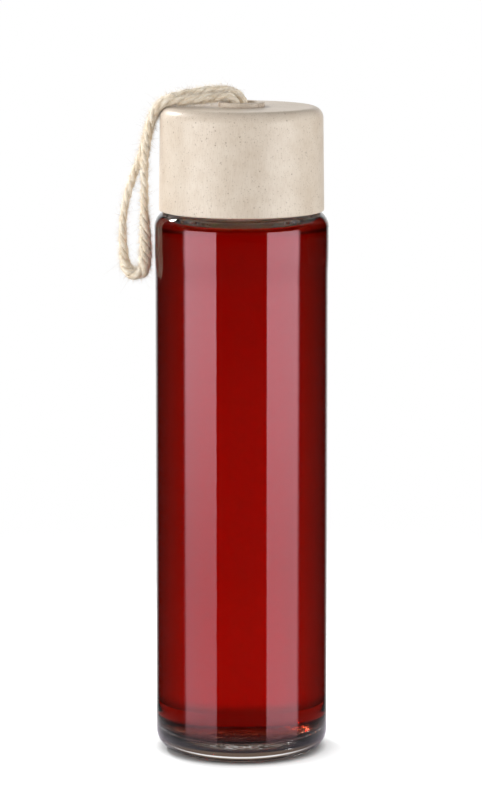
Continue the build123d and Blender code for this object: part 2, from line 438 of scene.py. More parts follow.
class Paint:
    """A node tree while it is written."""

    def __init__(self, owner: Union[bpy.types.Material, bpy.types.World]) -> None:
        """Empties the owner's tree and gives it an output node.

        Args:
            owner: the material or world that the tree belongs to.
        """
        owner.use_nodes = True
        self.tree = owner.node_tree
        self.tree.nodes.clear()
        kind = "World" if isinstance(owner, bpy.types.World) else "Material"
        self.output = self.node(f"ShaderNodeOutput{kind}", {}, {})

    def node(self, kind: str, settings: dict[str, Any], inputs: dict[Union[str, int], Any]) -> bpy.types.Node:
        """Adds one node.

        Args:
            kind: its Blender type.
            settings: its properties, set before its sockets.
            inputs: a value or a link for each socket that isn't left as it is.

        Returns:
            The node.
        """
        made = self.tree.nodes.new(kind)
        for key, value in settings.items():
            setattr(made, key, value)
        for key, value in inputs.items():
            self.feed(made.inputs[key], value)
        return made

    def feed(self, socket: bpy.types.NodeSocket, value: Any) -> None:
        """Links a socket or sets its value.

        Args:
            socket: the socket that is fed.
            value: a signal, a socket, a node, whose first output is meant, or a plain value.
        """
        if isinstance(value, Signal):
            self.tree.links.new(value.socket, socket)
        elif isinstance(value, bpy.types.Node):
            self.tree.links.new(value.outputs[0], socket)
        elif isinstance(value, bpy.types.NodeSocket):
            self.tree.links.new(value, socket)
        elif isinstance(value, tuple) and len(value) == 3 and socket.type == "RGBA":
            socket.default_value = (*value, 1.0)
        else:
            socket.default_value = value

    def show(self, shader: bpy.types.Node, socket: str = "Surface") -> None:
        """Feeds a shader to the tree's output."""
        self.feed(self.output.inputs[socket], shader)

    def signal(self, kind: str, output: str, settings: dict[str, Any], inputs: dict[Any, Any]) -> Signal:
        """Adds one node and returns its named output as a signal."""
        return Signal(self, self.node(kind, settings, inputs).outputs[output])

    def coordinates(
        self, stretch: Triple = (1.0, 1.0, 1.0), attribute: Optional[str] = None
    ) -> bpy.types.NodeSocket:
        """Coordinates of the surface's points.

        Args:
            stretch: what they are multiplied by along each axis.
            attribute: the piece's own attribute that holds them, where they aren't Object coordinates.

        Returns:
            The socket that carries them.
        """
        if attribute is None:
            source = self.node("ShaderNodeTexCoord", {}, {}).outputs["Object"]
        else:
            source = self.node("ShaderNodeAttribute", {"attribute_name": attribute}, {}).outputs["Vector"]
        inputs = {0: source, 1: stretch}
        return self.node("ShaderNodeVectorMath", {"operation": "MULTIPLY"}, inputs).outputs[0]

    def cells(self, width: float) -> bpy.types.NodeSocket:
        """Object coordinates in units of a width in millimetres."""
        return self.coordinates((1.0 / (width * MM),) * 3)

    def part(self, vector: bpy.types.NodeSocket, axis: str) -> Signal:
        """A vector's part along one axis."""
        return self.signal("ShaderNodeSeparateXYZ", axis, {}, {0: vector})

    def noise(self, vector: bpy.types.NodeSocket, detail: float, roughness: float = 0.55) -> Signal:
        """Cloudy noise from 0 to 1, one cloud a unit of the vector."""
        inputs = {"Vector": vector, "Scale": 1.0, "Detail": detail, "Roughness": roughness}
        return self.signal("ShaderNodeTexNoise", "Fac", {}, inputs)

    def mixed(self, share: Number, first: Any, second: Any) -> bpy.types.NodeSocket:
        """A colour between two colours."""
        inputs = {0: share, 6: first, 7: second}
        return self.node("ShaderNodeMix", {"data_type": "RGBA"}, inputs).outputs[2]

    def mixed_shader(self, share: Number, first: bpy.types.Node, second: bpy.types.Node) -> bpy.types.Node:
        """A shader between two shaders."""
        return self.node("ShaderNodeMixShader", {}, {0: share, 1: first, 2: second})

    def bump(self, height: Signal, depth: float) -> bpy.types.NodeSocket:
        """A normal that stands for a relief of the given depth in millimetres."""
        return self.node("ShaderNodeBump", {}, {"Height": height, "Distance": depth * MM}).outputs["Normal"]

    def principled(self, **inputs: Any) -> bpy.types.Node:
        """Puts a Principled shader on the output.

        Args:
            **inputs: a value or a link for its sockets, named with underscores for their spaces.

        Returns:
            The shader.
        """
        named = {key.replace("_", " "): value for key, value in inputs.items()}
        shader = self.node("ShaderNodeBsdfPrincipled", {}, named)
        self.show(shader)
        return shader

    def light_path(self, output: str) -> Signal:
        """One of the Light Path node's outputs."""
        return self.signal("ShaderNodeLightPath", output, {}, {})

    def from_matt(self) -> Signal:
        """1 for a ray that set out from a matt surface, else 0."""
        return self.light_path("Diffuse Depth") > 0.5


def new_material(name: str) -> tuple[bpy.types.Material, Paint]:
    """A material and its empty tree."""
    material = bpy.data.materials.new(name)
    return material, Paint(material)


# Finishes


@dataclass(frozen=True)
class ClearGlass:
    """Fire-polished clear glass, dry or wetted by the drink.

    Args:
        name: the material's name.
        ior: its index of refraction.
        mirror: how much it mirrors head-on, which is next to nothing where the drink wets it.
        wave_width: width of the shallow waves that its mould left.
        wave_depth: their depth.
    """

    name: str = "clear_glass"
    ior: float = 1.5
    mirror: float = 1.0
    wave_width: float = 2.8
    wave_depth: float = 0.0

    def material(self) -> bpy.types.Material:
        """Builds the material.

        Returns:
            The material.
        """
        made, paint = new_material(self.name)
        shader = paint.principled(
            Base_Color=WHITE,
            Roughness=0.0,
            IOR=self.ior,
            Transmission_Weight=1.0,
            Specular_Tint=(self.mirror,) * 3,
        )
        if self.wave_depth:
            waves = paint.noise(paint.cells(self.wave_width), detail=1.0)
            paint.feed(shader.inputs["Normal"], paint.bump(waves, self.wave_depth))
        return made


@dataclass(frozen=True)
class RedDrink:
    """A clear red drink, coloured by what it absorbs on the light's way through it.

    Args:
        ior: its index of refraction.
        absorbed: how much red, green and blue it takes, as exponents for a metre.
        mirror: how much it mirrors head-on. Against the glass it wets, that is next to nothing.
    """

    ior: float = 1.345
    absorbed: Colour = (25.0, 130.0, 180.0)
    mirror: float = 0.05

    def material(self) -> bpy.types.Material:
        """Builds the material.

        Returns:
            The material, with a shader for its surface and one for its volume.
        """
        made, paint = new_material("red_drink")
        paint.principled(
            Base_Color=WHITE,
            Roughness=0.0,
            IOR=self.ior,
            Transmission_Weight=1.0,
            Specular_Tint=(self.mirror,) * 3,
        )
        density = max(self.absorbed)
        colour = tuple(1.0 - share / density for share in self.absorbed)
        volume = paint.node("ShaderNodeVolumeAbsorption", {}, {"Color": colour, "Density": density})
        paint.show(volume, "Volume")
        return made


@dataclass(frozen=True)
class Specks:
    """One size of speck in the plastic, scattered over a grid of cells.

    Args:
        cell: distance between two places for a speck.
        empty: the share of those places that hold none.
        size: a speck's radius as a share of that distance.
        depth: how far a speck takes its own colour.
        rim: distances from its middle at which it begins and is full, in its radii.
    """

    cell: float
    empty: float
    size: float
    depth: float
    rim: Span = (1.5, 0.5)

    def spots(self, paint: Paint) -> Signal:
        """Round specks in some of the cells.

        Args:
            paint: the tree that they are part of.

        Returns:
            The signal, which is the specks' depth at their middle and 0 between them.
        """
        inputs = {"Vector": paint.cells(self.cell), "Scale": 1.0, "Randomness": 1.0}
        cells = paint.node("ShaderNodeTexVoronoi", {}, inputs)
        lot = paint.signal("ShaderNodeSeparateColor", "Red", {}, {"Color": cells.outputs["Color"]})
        near = Signal(paint, cells.outputs["Distance"]).between(*(self.size * part for part in self.rim))
        return near * (lot > self.empty) * self.depth


@dataclass(frozen=True)
class FibrePlastic:
    """Satin beige plastic filled with plant fibre: faint upright fibres, soft clouds and brown specks.

    Args:
        pale: colour of the plastic where it is lightest.
        deep: colour where fibres lie under its surface.
        speck: colour of the specks.
        fibre_width: distance between two fibres.
        fibre_length: their length.
        fibre_share: how far they take the deep colour.
        fibre_edges: values of the noise between which a fibre grows to its full.
        cloud_width: width of its clouds.
        cloud_share: how far they take the deep colour.
        cloud_edges: values of the noise between which a cloud grows to its full.
        specks: its specks, from coarse to fine.
        roughness: how much the surface blurs what it mirrors.
        fibre_roughness: how much more it does so over a fibre.
        relief: depth of its surface.
        cloud_relief: how much more of that is in the clouds than in the fibres.
        ior: its index of refraction.
    """

    pale: Colour = (0.70, 0.61, 0.51)
    deep: Colour = (0.57, 0.46, 0.355)
    speck: Colour = (0.20, 0.12, 0.06)
    fibre_width: float = 0.35
    fibre_length: float = 2.4
    fibre_share: float = 0.45
    fibre_edges: Span = (0.35, 0.8)
    cloud_width: float = 7.0
    cloud_share: float = 0.4
    cloud_edges: Span = (0.3, 0.75)
    specks: tuple[Specks, ...] = (
        Specks(2.3, empty=0.55, size=0.12, depth=0.55),
        Specks(1.3, empty=0.30, size=0.16, depth=0.38),
        Specks(0.75, empty=0.40, size=0.22, depth=0.26),
    )
    roughness: float = 0.33
    fibre_roughness: float = 0.08
    relief: float = 0.012
    cloud_relief: float = 2.0
    ior: float = 1.46

    def material(self) -> bpy.types.Material:
        """Builds the material.

        Returns:
            The material.
        """
        made, paint = new_material("fibre_plastic")
        across, down = 1.0 / (self.fibre_width * MM), 1.0 / (self.fibre_length * MM)
        fibres = paint.noise(paint.coordinates((across, across, down)), detail=2.0)
        clouds = paint.noise(paint.cells(self.cloud_width), detail=3.0)
        fibred = fibres.between(*self.fibre_edges) * self.fibre_share
        clouded = clouds.between(*self.cloud_edges) * self.cloud_share
        colour = paint.mixed(fibred + clouded, self.pale, self.deep)
        for kind in self.specks:
            colour = paint.mixed(kind.spots(paint), colour, self.speck)
        paint.principled(
            Base_Color=colour,
            Roughness=self.roughness + fibres * self.fibre_roughness,
            IOR=self.ior,
            Normal=paint.bump(fibres + clouds * self.cloud_relief, self.relief),
        )
        return made


@dataclass(frozen=True)
class Moulded:
    """A plain moulded finish with a fine grain and faint clouds.

    Args:
        name: the material's name.
        colour: its colour.
        roughness: how much it blurs what it mirrors.
        grain: width of its grain.
        depth: depth of its grain.
        soft: share of the light that goes through under its surface.
        soft_reach: how far that light goes.
        cloud_grains: width of a cloud, in grains.
        cloud_edges: values of the noise between which a cloud grows to its full.
        cloud_share: how far the clouds darken the colour.
        grain_share: how far the grain does.
        dark: brightness of the clouds as a share of the colour's.
        grain_roughness: how much more it blurs what it mirrors on top of a grain.
    """

    name: str
    colour: Colour
    roughness: float
    grain: float = 0.5
    depth: float = 0.01
    soft: float = 0.0
    soft_reach: float = 1.5
    cloud_grains: float = 12.5
    cloud_edges: Span = (0.3, 0.8)
    cloud_share: float = 0.6
    grain_share: float = 0.15
    dark: float = 0.86
    grain_roughness: float = 0.12

    def material(self) -> bpy.types.Material:
        """Builds the material.

        Returns:
            The material.
        """
        made, paint = new_material(self.name)
        grain = paint.noise(paint.cells(self.grain), detail=4.0)
        clouds = paint.noise(paint.cells(self.grain * self.cloud_grains), detail=2.0)
        darker = tuple(self.dark * part for part in self.colour)
        share = clouds.between(*self.cloud_edges) * self.cloud_share + grain * self.grain_share
        paint.principled(
            Base_Color=paint.mixed(share, self.colour, darker),
            Roughness=self.roughness + grain * self.grain_roughness,
            Normal=paint.bump(grain, self.depth),
            Subsurface_Weight=self.soft,
            Subsurface_Scale=self.soft_reach * MM,
        )
        return made


@dataclass(frozen=True)
class Cotton:
    """Natural twisted cotton: streaks along each strand, from the piece's own strand coordinates.

    Args:
        name: the material's name.
        pale: colour of its clean fibres.
        tan: colour in its grooves and husks.
        streak: streaks and patches for a unit along a strand and across it.
        patch: the same for its larger patches.
        streak_edges: values of the noise between which a streak grows to its full.
        patch_edges: the same for a patch.
        streak_share: how far the streaks take the second colour. The patches take the rest.
        relief: depth of the streaks.
        roughness: how much it blurs what it mirrors.
        shine: how much it mirrors.
    """

    name: str = "cotton"
    pale: Colour = (0.94, 0.88, 0.77)
    tan: Colour = (0.74, 0.57, 0.37)
    streak: Triple = (0.7, 3.2, 3.2)
    patch: Triple = (0.12, 0.3, 0.3)
    streak_edges: Span = (0.36, 0.72)
    patch_edges: Span = (0.4, 0.7)
    streak_share: float = 0.75
    relief: float = 0.16
    roughness: float = 0.95
    shine: float = 0.15

    def material(self) -> bpy.types.Material:
        """Builds the material.

        Returns:
            The material.
        """
        made, paint = new_material(self.name)
        streaks = paint.noise(paint.coordinates(self.streak, "strand_space"), detail=4.0, roughness=0.65)
        patches = paint.noise(paint.coordinates(self.patch, "strand_space"), detail=2.0)
        streaked = streaks.between(*self.streak_edges) * self.streak_share
        share = streaked + patches.between(*self.patch_edges) * (1.0 - self.streak_share)
        paint.principled(
            Base_Color=paint.mixed(share, self.pale, self.tan),
            Roughness=self.roughness,
            Specular_IOR_Level=self.shine,
            Normal=paint.bump(streaks, self.relief),
        )
        return made


# The bottle and what it holds


@dataclass
class Bottle:
    """The glass bottle, from the hollow under its base to its threaded neck, and the drink in it.

    The heel is the fillet between the body and the foot, and the foot the width of the ring that it
    stands on. The punt is the hollow's height, the floor the glass over it, and the dome how far the
    floor rises inside. The body swells a little between two heights below the shoulder. The drink reaches
    into the glass by its contact, so that no air shows between them, and its meniscus falls to about a
    third over its reach.
    """

    radius: float = 31.0
    wall: float = 1.9
    heel: float = 6.9
    foot: float = 2.1
    punt: float = 1.8
    floor: float = 5.6
    dome: float = 0.8
    inner_heel: float = 7.5
    shoulder: float = 196.9
    shoulder_fillet: float = 6.0
    shoulder_wall: float = 4.4
    swell: float = 0.25
    swell_from: float = 174.4
    swell_to: float = 181.4
    swell_fillet: float = 140.0
    neck: float = 22.0
    neck_wall: float = 3.0
    neck_root: float = 2.0
    mouth_fillet: float = 4.5
    rim_fillet: float = 1.0
    thread_pitch: float = 4.0
    thread_depth: float = 1.5
    thread_half_width: float = 1.25
    thread_crest: float = 1.6
    thread_from: float = 206.5
    thread_turns: float = 1.6
    thread_fade: float = 0.5
    level: float = 192.45
    contact: float = 0.05
    meniscus: float = 0.25
    meniscus_reach: float = 1.3
    surface_points: int = 22
    surface_middle: float = 0.4
    sides: int = 192
    heel_step: float = 0.7
    body_step: float = 2.6
    neck_step: float = 0.28
    rim_step: float = 0.4
    glass: ClearGlass = ClearGlass()
    wet_glass: ClearGlass = ClearGlass("wet_glass", mirror=0.05)
    base_glass: ClearGlass = ClearGlass("base_glass", wave_depth=0.8)
    drink: RedDrink = RedDrink()

    @property
    def bore(self) -> float:
        """Radius of the body's inside."""
        return self.radius - self.wall

    @property
    def foot_edge(self) -> float:
        """Inner radius of the ring that the bottle stands on."""
        return self.radius - self.heel - self.foot

    @property
    def floor_edge(self) -> float:
        """Height of the floor's edge inside."""
        return self.punt + self.floor - self.dome

    def _inside(self, gap: float) -> list[Corner]:
        """Lists the corners of the inside, from the neck's bore down to the floor.

        Args:
            gap: how far into the glass they are moved.

        Returns:
            The corners, as an outline takes them.
        """
        swollen = self.bore + self.swell + gap
        roof = self.shoulder - self.shoulder_wall + gap
        bottom = self.floor_edge - gap
        return [
            (self.neck - self.neck_wall + gap, roof, self.mouth_fillet),
            (swollen, roof, self.shoulder_fillet - self.wall),
            (swollen, self.swell_to, self.swell_fillet),
            (self.bore + gap, self.swell_from, self.swell_fillet),
            (self.bore + gap, bottom, self.inner_heel, self.body_step),
            (0.0, bottom, 0.0),
        ]

    def _thread(self, angle: np.ndarray, radius: np.ndarray, height: np.ndarray) -> np.ndarray:
        """Adds a ridge that climbs one pitch a turn to the outside of the neck.

        The ridge stands where |height - start - pitch * turns| is under its half width, and it fades at both
        ends of its run.

        Args:
            angle: angle of each grid point about the axis.
            radius: its radius without the ridge.
            height: its height.

        Returns:
            The radius of each grid point with the ridge.
        """
        raised = radius.copy()
        on_neck = (np.abs(radius - self.neck) < NEAR) & (height > self.shoulder + self.neck_root)
        for lap in range(math.ceil(self.thread_turns)):
            turns = angle / TURN + lap
            middle = self.thread_from + self.thread_pitch * turns
            fade = smooth(turns / self.thread_fade) * smooth((self.thread_turns - turns) / self.thread_fade)
            ridge = smooth(self.thread_crest * (1.0 - np.abs(height - middle) / self.thread_half_width))
            raised += np.where(on_neck, self.thread_depth * fade * ridge, 0.0)
        return raised

    def build_glass(self) -> bpy.types.Object:
        """Turns the glass: under the base, up the outside, over the rim, and down the inside.

        Returns:
            The piece, with a material for its dry faces, one for its wet ones and one for its underside.
        """
        rim = reach("glass_bottle")[2]
        swollen = self.radius + self.swell
        outside = [
            (self.radius, 0.0, self.heel, self.heel_step),
            (self.radius, self.swell_from, self.swell_fillet, self.body_step),
            (swollen, self.swell_to, self.swell_fillet),
            (swollen, self.shoulder, self.shoulder_fillet),
            (self.neck, self.shoulder, self.neck_root),
            (self.neck, rim, self.rim_fillet, self.neck_step),
            (self.neck - self.neck_wall, rim, self.rim_fillet, self.rim_step),
        ]
        outline = rounded([(0.0, 0.0, 0.0), *outside, *self._inside(0.0)])
        outline = domed(outline, 0.0, self.foot_edge, self.punt)
        outline = domed(outline, self.floor_edge, self.bore - self.inner_heel, self.dome)
        piece = turned("bottle_glass", outline, "bottle", self.sides, shape=self._thread)
        for finish in (self.glass, self.wet_glass, self.base_glass):
            piece.data.materials.append(finish.material())
        centres = np.zeros(len(piece.data.polygons) * 3)
        piece.data.polygons.foreach_get("center", centres)
        x, y, z = centres.reshape(-1, 3).T / MM
        above = z > self.floor_edge - NEAR
        wet = (np.hypot(x, y) < self.bore + self.swell) & above & (z < self.level)
        under = (np.hypot(x, y) < self.foot_edge) & ~above
        piece.data.polygons.foreach_set("material_index", (wet + 2 * under).astype(np.int32))
        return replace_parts(piece, "glass_bottle")

    def build_drink(self) -> bpy.types.Object:
        """Turns the drink, whose surface climbs at the glass by meniscus * exp(-distance / reach).

        Returns:
            The piece.
        """
        inside = self._inside(self.contact)
        above_rim = (inside[0][0], self.shoulder + self.neck, 0.0)
        outline = rounded([above_rim, *inside], self.body_step)
        first = int(np.argmax(outline[:, 1] <= self.level))
        above, below = outline[first - 1], outline[first]
        rim = above[0] + (below[0] - above[0]) * (above[1] - self.level) / (above[1] - below[1])
        bottom = domed(outline[first:], inside[-1][1], self.bore - self.inner_heel, self.dome)
        inward = rim - np.linspace(rim, self.surface_middle, self.surface_points)
        climb = self.meniscus * np.exp(-inward / self.meniscus_reach)
        surface = np.stack([rim - inward, self.level - self.meniscus + climb], axis=-1)
        outline = np.vstack([[0.0, surface[-1, 1]], surface[::-1], bottom])
        piece = turned("red_drink", outline, "bottle", self.sides)
        piece.data.materials.append(self.drink.material())
        return piece

    def build(self) -> None:
        """Makes the glass and the drink."""
        self.build_glass()
        self.build_drink()


# The lid


@dataclass
class Lid:
    """The screw lid: its fibre-plastic shell and grommet, the threaded liner and the seal.

    The shell is wider at its lower edge by its flare. Inside it has the ledge that the liner seats
    against and the knot's room. The grommet's barb is as high at its edge as it stands out. The liner's
    thread has its back buried in the liner, and is moved towards the axis by its inset.
    """

    top_radius: float = 29.15
    flare: float = 0.45
    edge: float = 4.1
    wall: float = 1.95
    ledge: float = 2.3
    roof: float = 2.8
    stem_hole: float = 6.95
    rim_fillet: float = 0.5
    room_fillet: float = 1.2
    small_fillet: float = 0.2
    stem: float = 6.9
    barb: float = 0.6
    well: float = 5.8
    well_depth: float = 2.4
    hole: float = 3.8
    lip_fillet: float = 0.4
    hole_fillet: float = 0.5
    liner_bore: float = 23.9
    thread_pitch: float = 4.0
    thread_depth: float = 1.4
    thread_half_width: float = 1.1
    thread_from: float = 205.0
    thread_turns: float = 1.25
    thread_fade: float = 0.15
    thread_buried: float = 0.4
    thread_inset: float = 0.02
    thread_points: int = 120
    thread_sides: int = 14
    shell_sides: int = 192
    grommet_sides: int = 96
    top_step: float = 1.0
    side_step: float = 0.8
    rim_step: float = 0.4
    grommet_step: float = 0.6
    shell_finish: FibrePlastic = FibrePlastic()
    liner_finish: Moulded = Moulded("liner_plastic", (0.74, 0.70, 0.62), 0.42)
    seal_finish: Moulded = Moulded("silicone", (0.80, 0.79, 0.76), 0.5, grain=0.8, depth=0.006, soft=0.3)

    def build_shell(self, material: bpy.types.Material) -> bpy.types.Object:
        """Turns the shell: over its top, down the outside, up inside to the ledge and the knot's room.

        Args:
            material: the shell's material.

        Returns:
            The piece.
        """
        bottom_radius = self.top_radius + self.flare
        low, top = reach("lid_shell")[1:]
        ledge_height = reach("inner_cap")[2]
        bore = bottom_radius - self.wall
        room, roof = bore - self.ledge, top - self.roof
        corners = [
            (self.stem_hole, top, self.small_fillet),
            (self.top_radius, top, self.edge, self.top_step),
            (bottom_radius, low, self.rim_fillet, self.side_step),
            (bore, low, self.rim_fillet, self.rim_step),
            (bore, ledge_height, self.small_fillet),
            (room, ledge_height, self.small_fillet),
            (room, roof, self.room_fillet),
            (self.stem_hole, roof, self.small_fillet),
        ]
        outline = rounded(corners, closed=True)
        piece = turned("lid_shell_moulded", outline, "lid", self.shell_sides, closed=True)
        piece.data.materials.append(material)
        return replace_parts(piece, "lid_shell")

    def build_grommet(self, material: bpy.types.Material) -> bpy.types.Object:
        """Turns the grommet: its flange on the lid, its stem and barb, and the well that narrows to the hole.

        Args:
            material: the grommet's material.

        Returns:
            The piece.
        """
        radius, bottom, top = reach("cord_grommet")
        lid_top = reach("lid_shell")[2]
        roof = lid_top - self.roof
        barbed = self.stem + self.barb
        well_floor = top - self.well_depth
        corners = [
            (self.hole, bottom, self.hole_fillet),
            (self.stem, bottom, self.small_fillet),
            (barbed, roof - self.barb, self.small_fillet),
            (barbed, roof, self.small_fillet),
            (self.stem, roof, 0.0),
            (self.stem, lid_top, 0.0),
            (radius, lid_top, self.small_fillet),
            (radius, top, self.lip_fillet),
            (self.well, top, self.lip_fillet),
            (self.well, well_floor, self.small_fillet),
            (self.hole, well_floor, self.hole_fillet),
        ]
        outline = rounded(corners, self.grommet_step, closed=True)
        piece = turned("grommet_moulded", outline, "lid", self.grommet_sides, closed=True)
        piece.data.materials.append(material)
        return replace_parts(piece, "cord_grommet")

    def build_liner_thread(self, material: bpy.types.Material) -> bpy.types.Object:
        """Lays a ridge along a helix in the liner's bore: its section is an oval that shrinks at both ends.

        Args:
            material: the liner's material.

        Returns:
            The piece.
        """
        turns = np.linspace(0.0, self.thread_turns, round(self.thread_points * self.thread_turns))
        fade = smooth(turns / self.thread_fade) * smooth((self.thread_turns - turns) / self.thread_fade)
        around = np.linspace(0.0, TURN, self.thread_sides, endpoint=False)
        half_depth = (self.thread_depth + self.thread_buried) / 2.0
        middle = self.liner_bore + self.thread_buried - half_depth - self.thread_inset
        radius = middle - half_depth * fade[:, None] * np.cos(around)
        lift = self.thread_half_width * fade[:, None] * np.sin(around)
        height = self.thread_from + self.thread_pitch * turns[:, None] + lift
        angle = TURN * turns[:, None]
        grid = np.stack([radius * np.cos(angle), radius * np.sin(angle), height], axis=-1)
        places = np.vstack([grid.reshape(-1, 3), grid[0].mean(axis=0), grid[-1].mean(axis=0)])
        piece = solid("liner_thread", places, capped_faces(len(turns), self.thread_sides), "lid")
        piece.data.materials.append(material)
        return piece

    def build(self) -> None:
        """Makes the shell, the grommet and the thread, and dresses the liner and the seal."""
        fibre = self.shell_finish.material()
        self.build_shell(fibre)
        self.build_grommet(fibre)
        liner, silicone = self.liner_finish.material(), self.seal_finish.material()
        self.build_liner_thread(liner)
        for node, material in (("inner_cap", liner), ("seal_ring", silicone)):
            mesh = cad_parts[node].data
            mesh.materials.clear()
            mesh.materials.append(material)
            LOG.info("%s: dressed in %s", node, material.name)


# The cord


class Lay(Enum):
    """Which way the strands of a rope turn, seen along it."""

    RIGHT = 1
    LEFT = -1


@dataclass(frozen=True)
class Fibres:
    """Loose fibres of one kind that stand out of the cord.

    Their lengths lie between the least and the greatest, by a beta distribution whose two exponents, the
    spread, favour short ones. A fibre is rooted at a share of the cord's width from its line, leans along
    the cord, scatters, drifts over, and loses a share of its radius, the thinning, towards its tip. None
    grows on the cord's bare ends, which lie in the lid. The slanted direction is one that hardly any
    fibre takes.
    """

    name: str
    count: int
    least: float
    greatest: float
    thick: float
    finish: Cotton
    spread: Span = (1.3, 3.0)
    root: float = 0.42
    lean: float = 1.6
    scatter: float = 0.4
    drift: float = 0.1575
    thinning: float = 0.7
    rings: int = 4
    bare_end: float = 9.0
    slanted: Triple = (0.3, 0.9, 0.2)

    def build(self, line: Track, widths: np.ndarray, seed: int) -> bpy.types.Object:
        """Scatters the fibres over the cord: each leaves its skin, bends over and thins out.

        A fibre's points are at start + out * s + drift * s ** 2, with s from 0 to its length. More of them
        grow where the cord is thick.

        Args:
            line: the cord's line.
            widths: the cord's width at each point of the line.
            seed: what makes the random numbers the same each time.

        Returns:
            The piece.
        """
        count, rings, sides = self.count, self.rings, 3
        random = np.random.default_rng(seed + count)
        along = line.along
        shown = (along > self.bare_end) & (along < along[-1] - self.bare_end)
        weight = np.where(shown, widths**2, 0.0)
        pick = random.choice(len(along), count, p=weight / weight.sum())
        angle = random.uniform(0.0, TURN, count)
        across, ahead = line.across[pick], line.ahead[pick]
        up = np.cross(across, ahead)
        out = np.cos(angle)[:, None] * across + np.sin(angle)[:, None] * up
        lean = ahead * random.uniform(-self.lean, self.lean, count)[:, None]
        direction = unit(out + lean + self.scatter * random.normal(size=(count, 3)))
        drift = self.drift * random.normal(size=(count, 3))
        length = self.least + (self.greatest - self.least) * random.beta(*self.spread, count)
        start = line.places[pick] + out * (self.root * widths[pick])[:, None]
        share = np.linspace(0.0, 1.0, rings)
        run = share[None, :, None] * length[:, None, None]
        middle = start[:, None] + direction[:, None] * run + drift[:, None] * run**2
        side = unit(np.cross(direction, self.slanted))
        other = np.cross(direction, side)
        around = TURN * np.arange(sides) / sides
        ring = np.cos(around)[None, :, None] * side[:, None] + np.sin(around)[None, :, None] * other[:, None]
        taper = self.thick * (1.0 - self.thinning * share)
        places = middle[:, :, None] + taper[None, :, None, None] * ring[:, None]
        firsts = rings * sides * np.arange(count)[:, None]
        skin = (grid_faces(rings, sides, False)[None] + firsts[:, None]).reshape(-1, 4)
        ends = [firsts + [2, 1, 0, 0], firsts + (rings - 1) * sides + [0, 1, 2, 2]]
        piece = solid(self.name, places.reshape(-1, 3), np.vstack([skin, *ends]), "cord")
        spaces = np.stack([along[pick], angle, np.zeros(count)], axis=-1)
        keep_spaces(piece, np.repeat(spaces, rings * sides, axis=0))
        piece.data.materials.append(self.finish.material())
        return piece


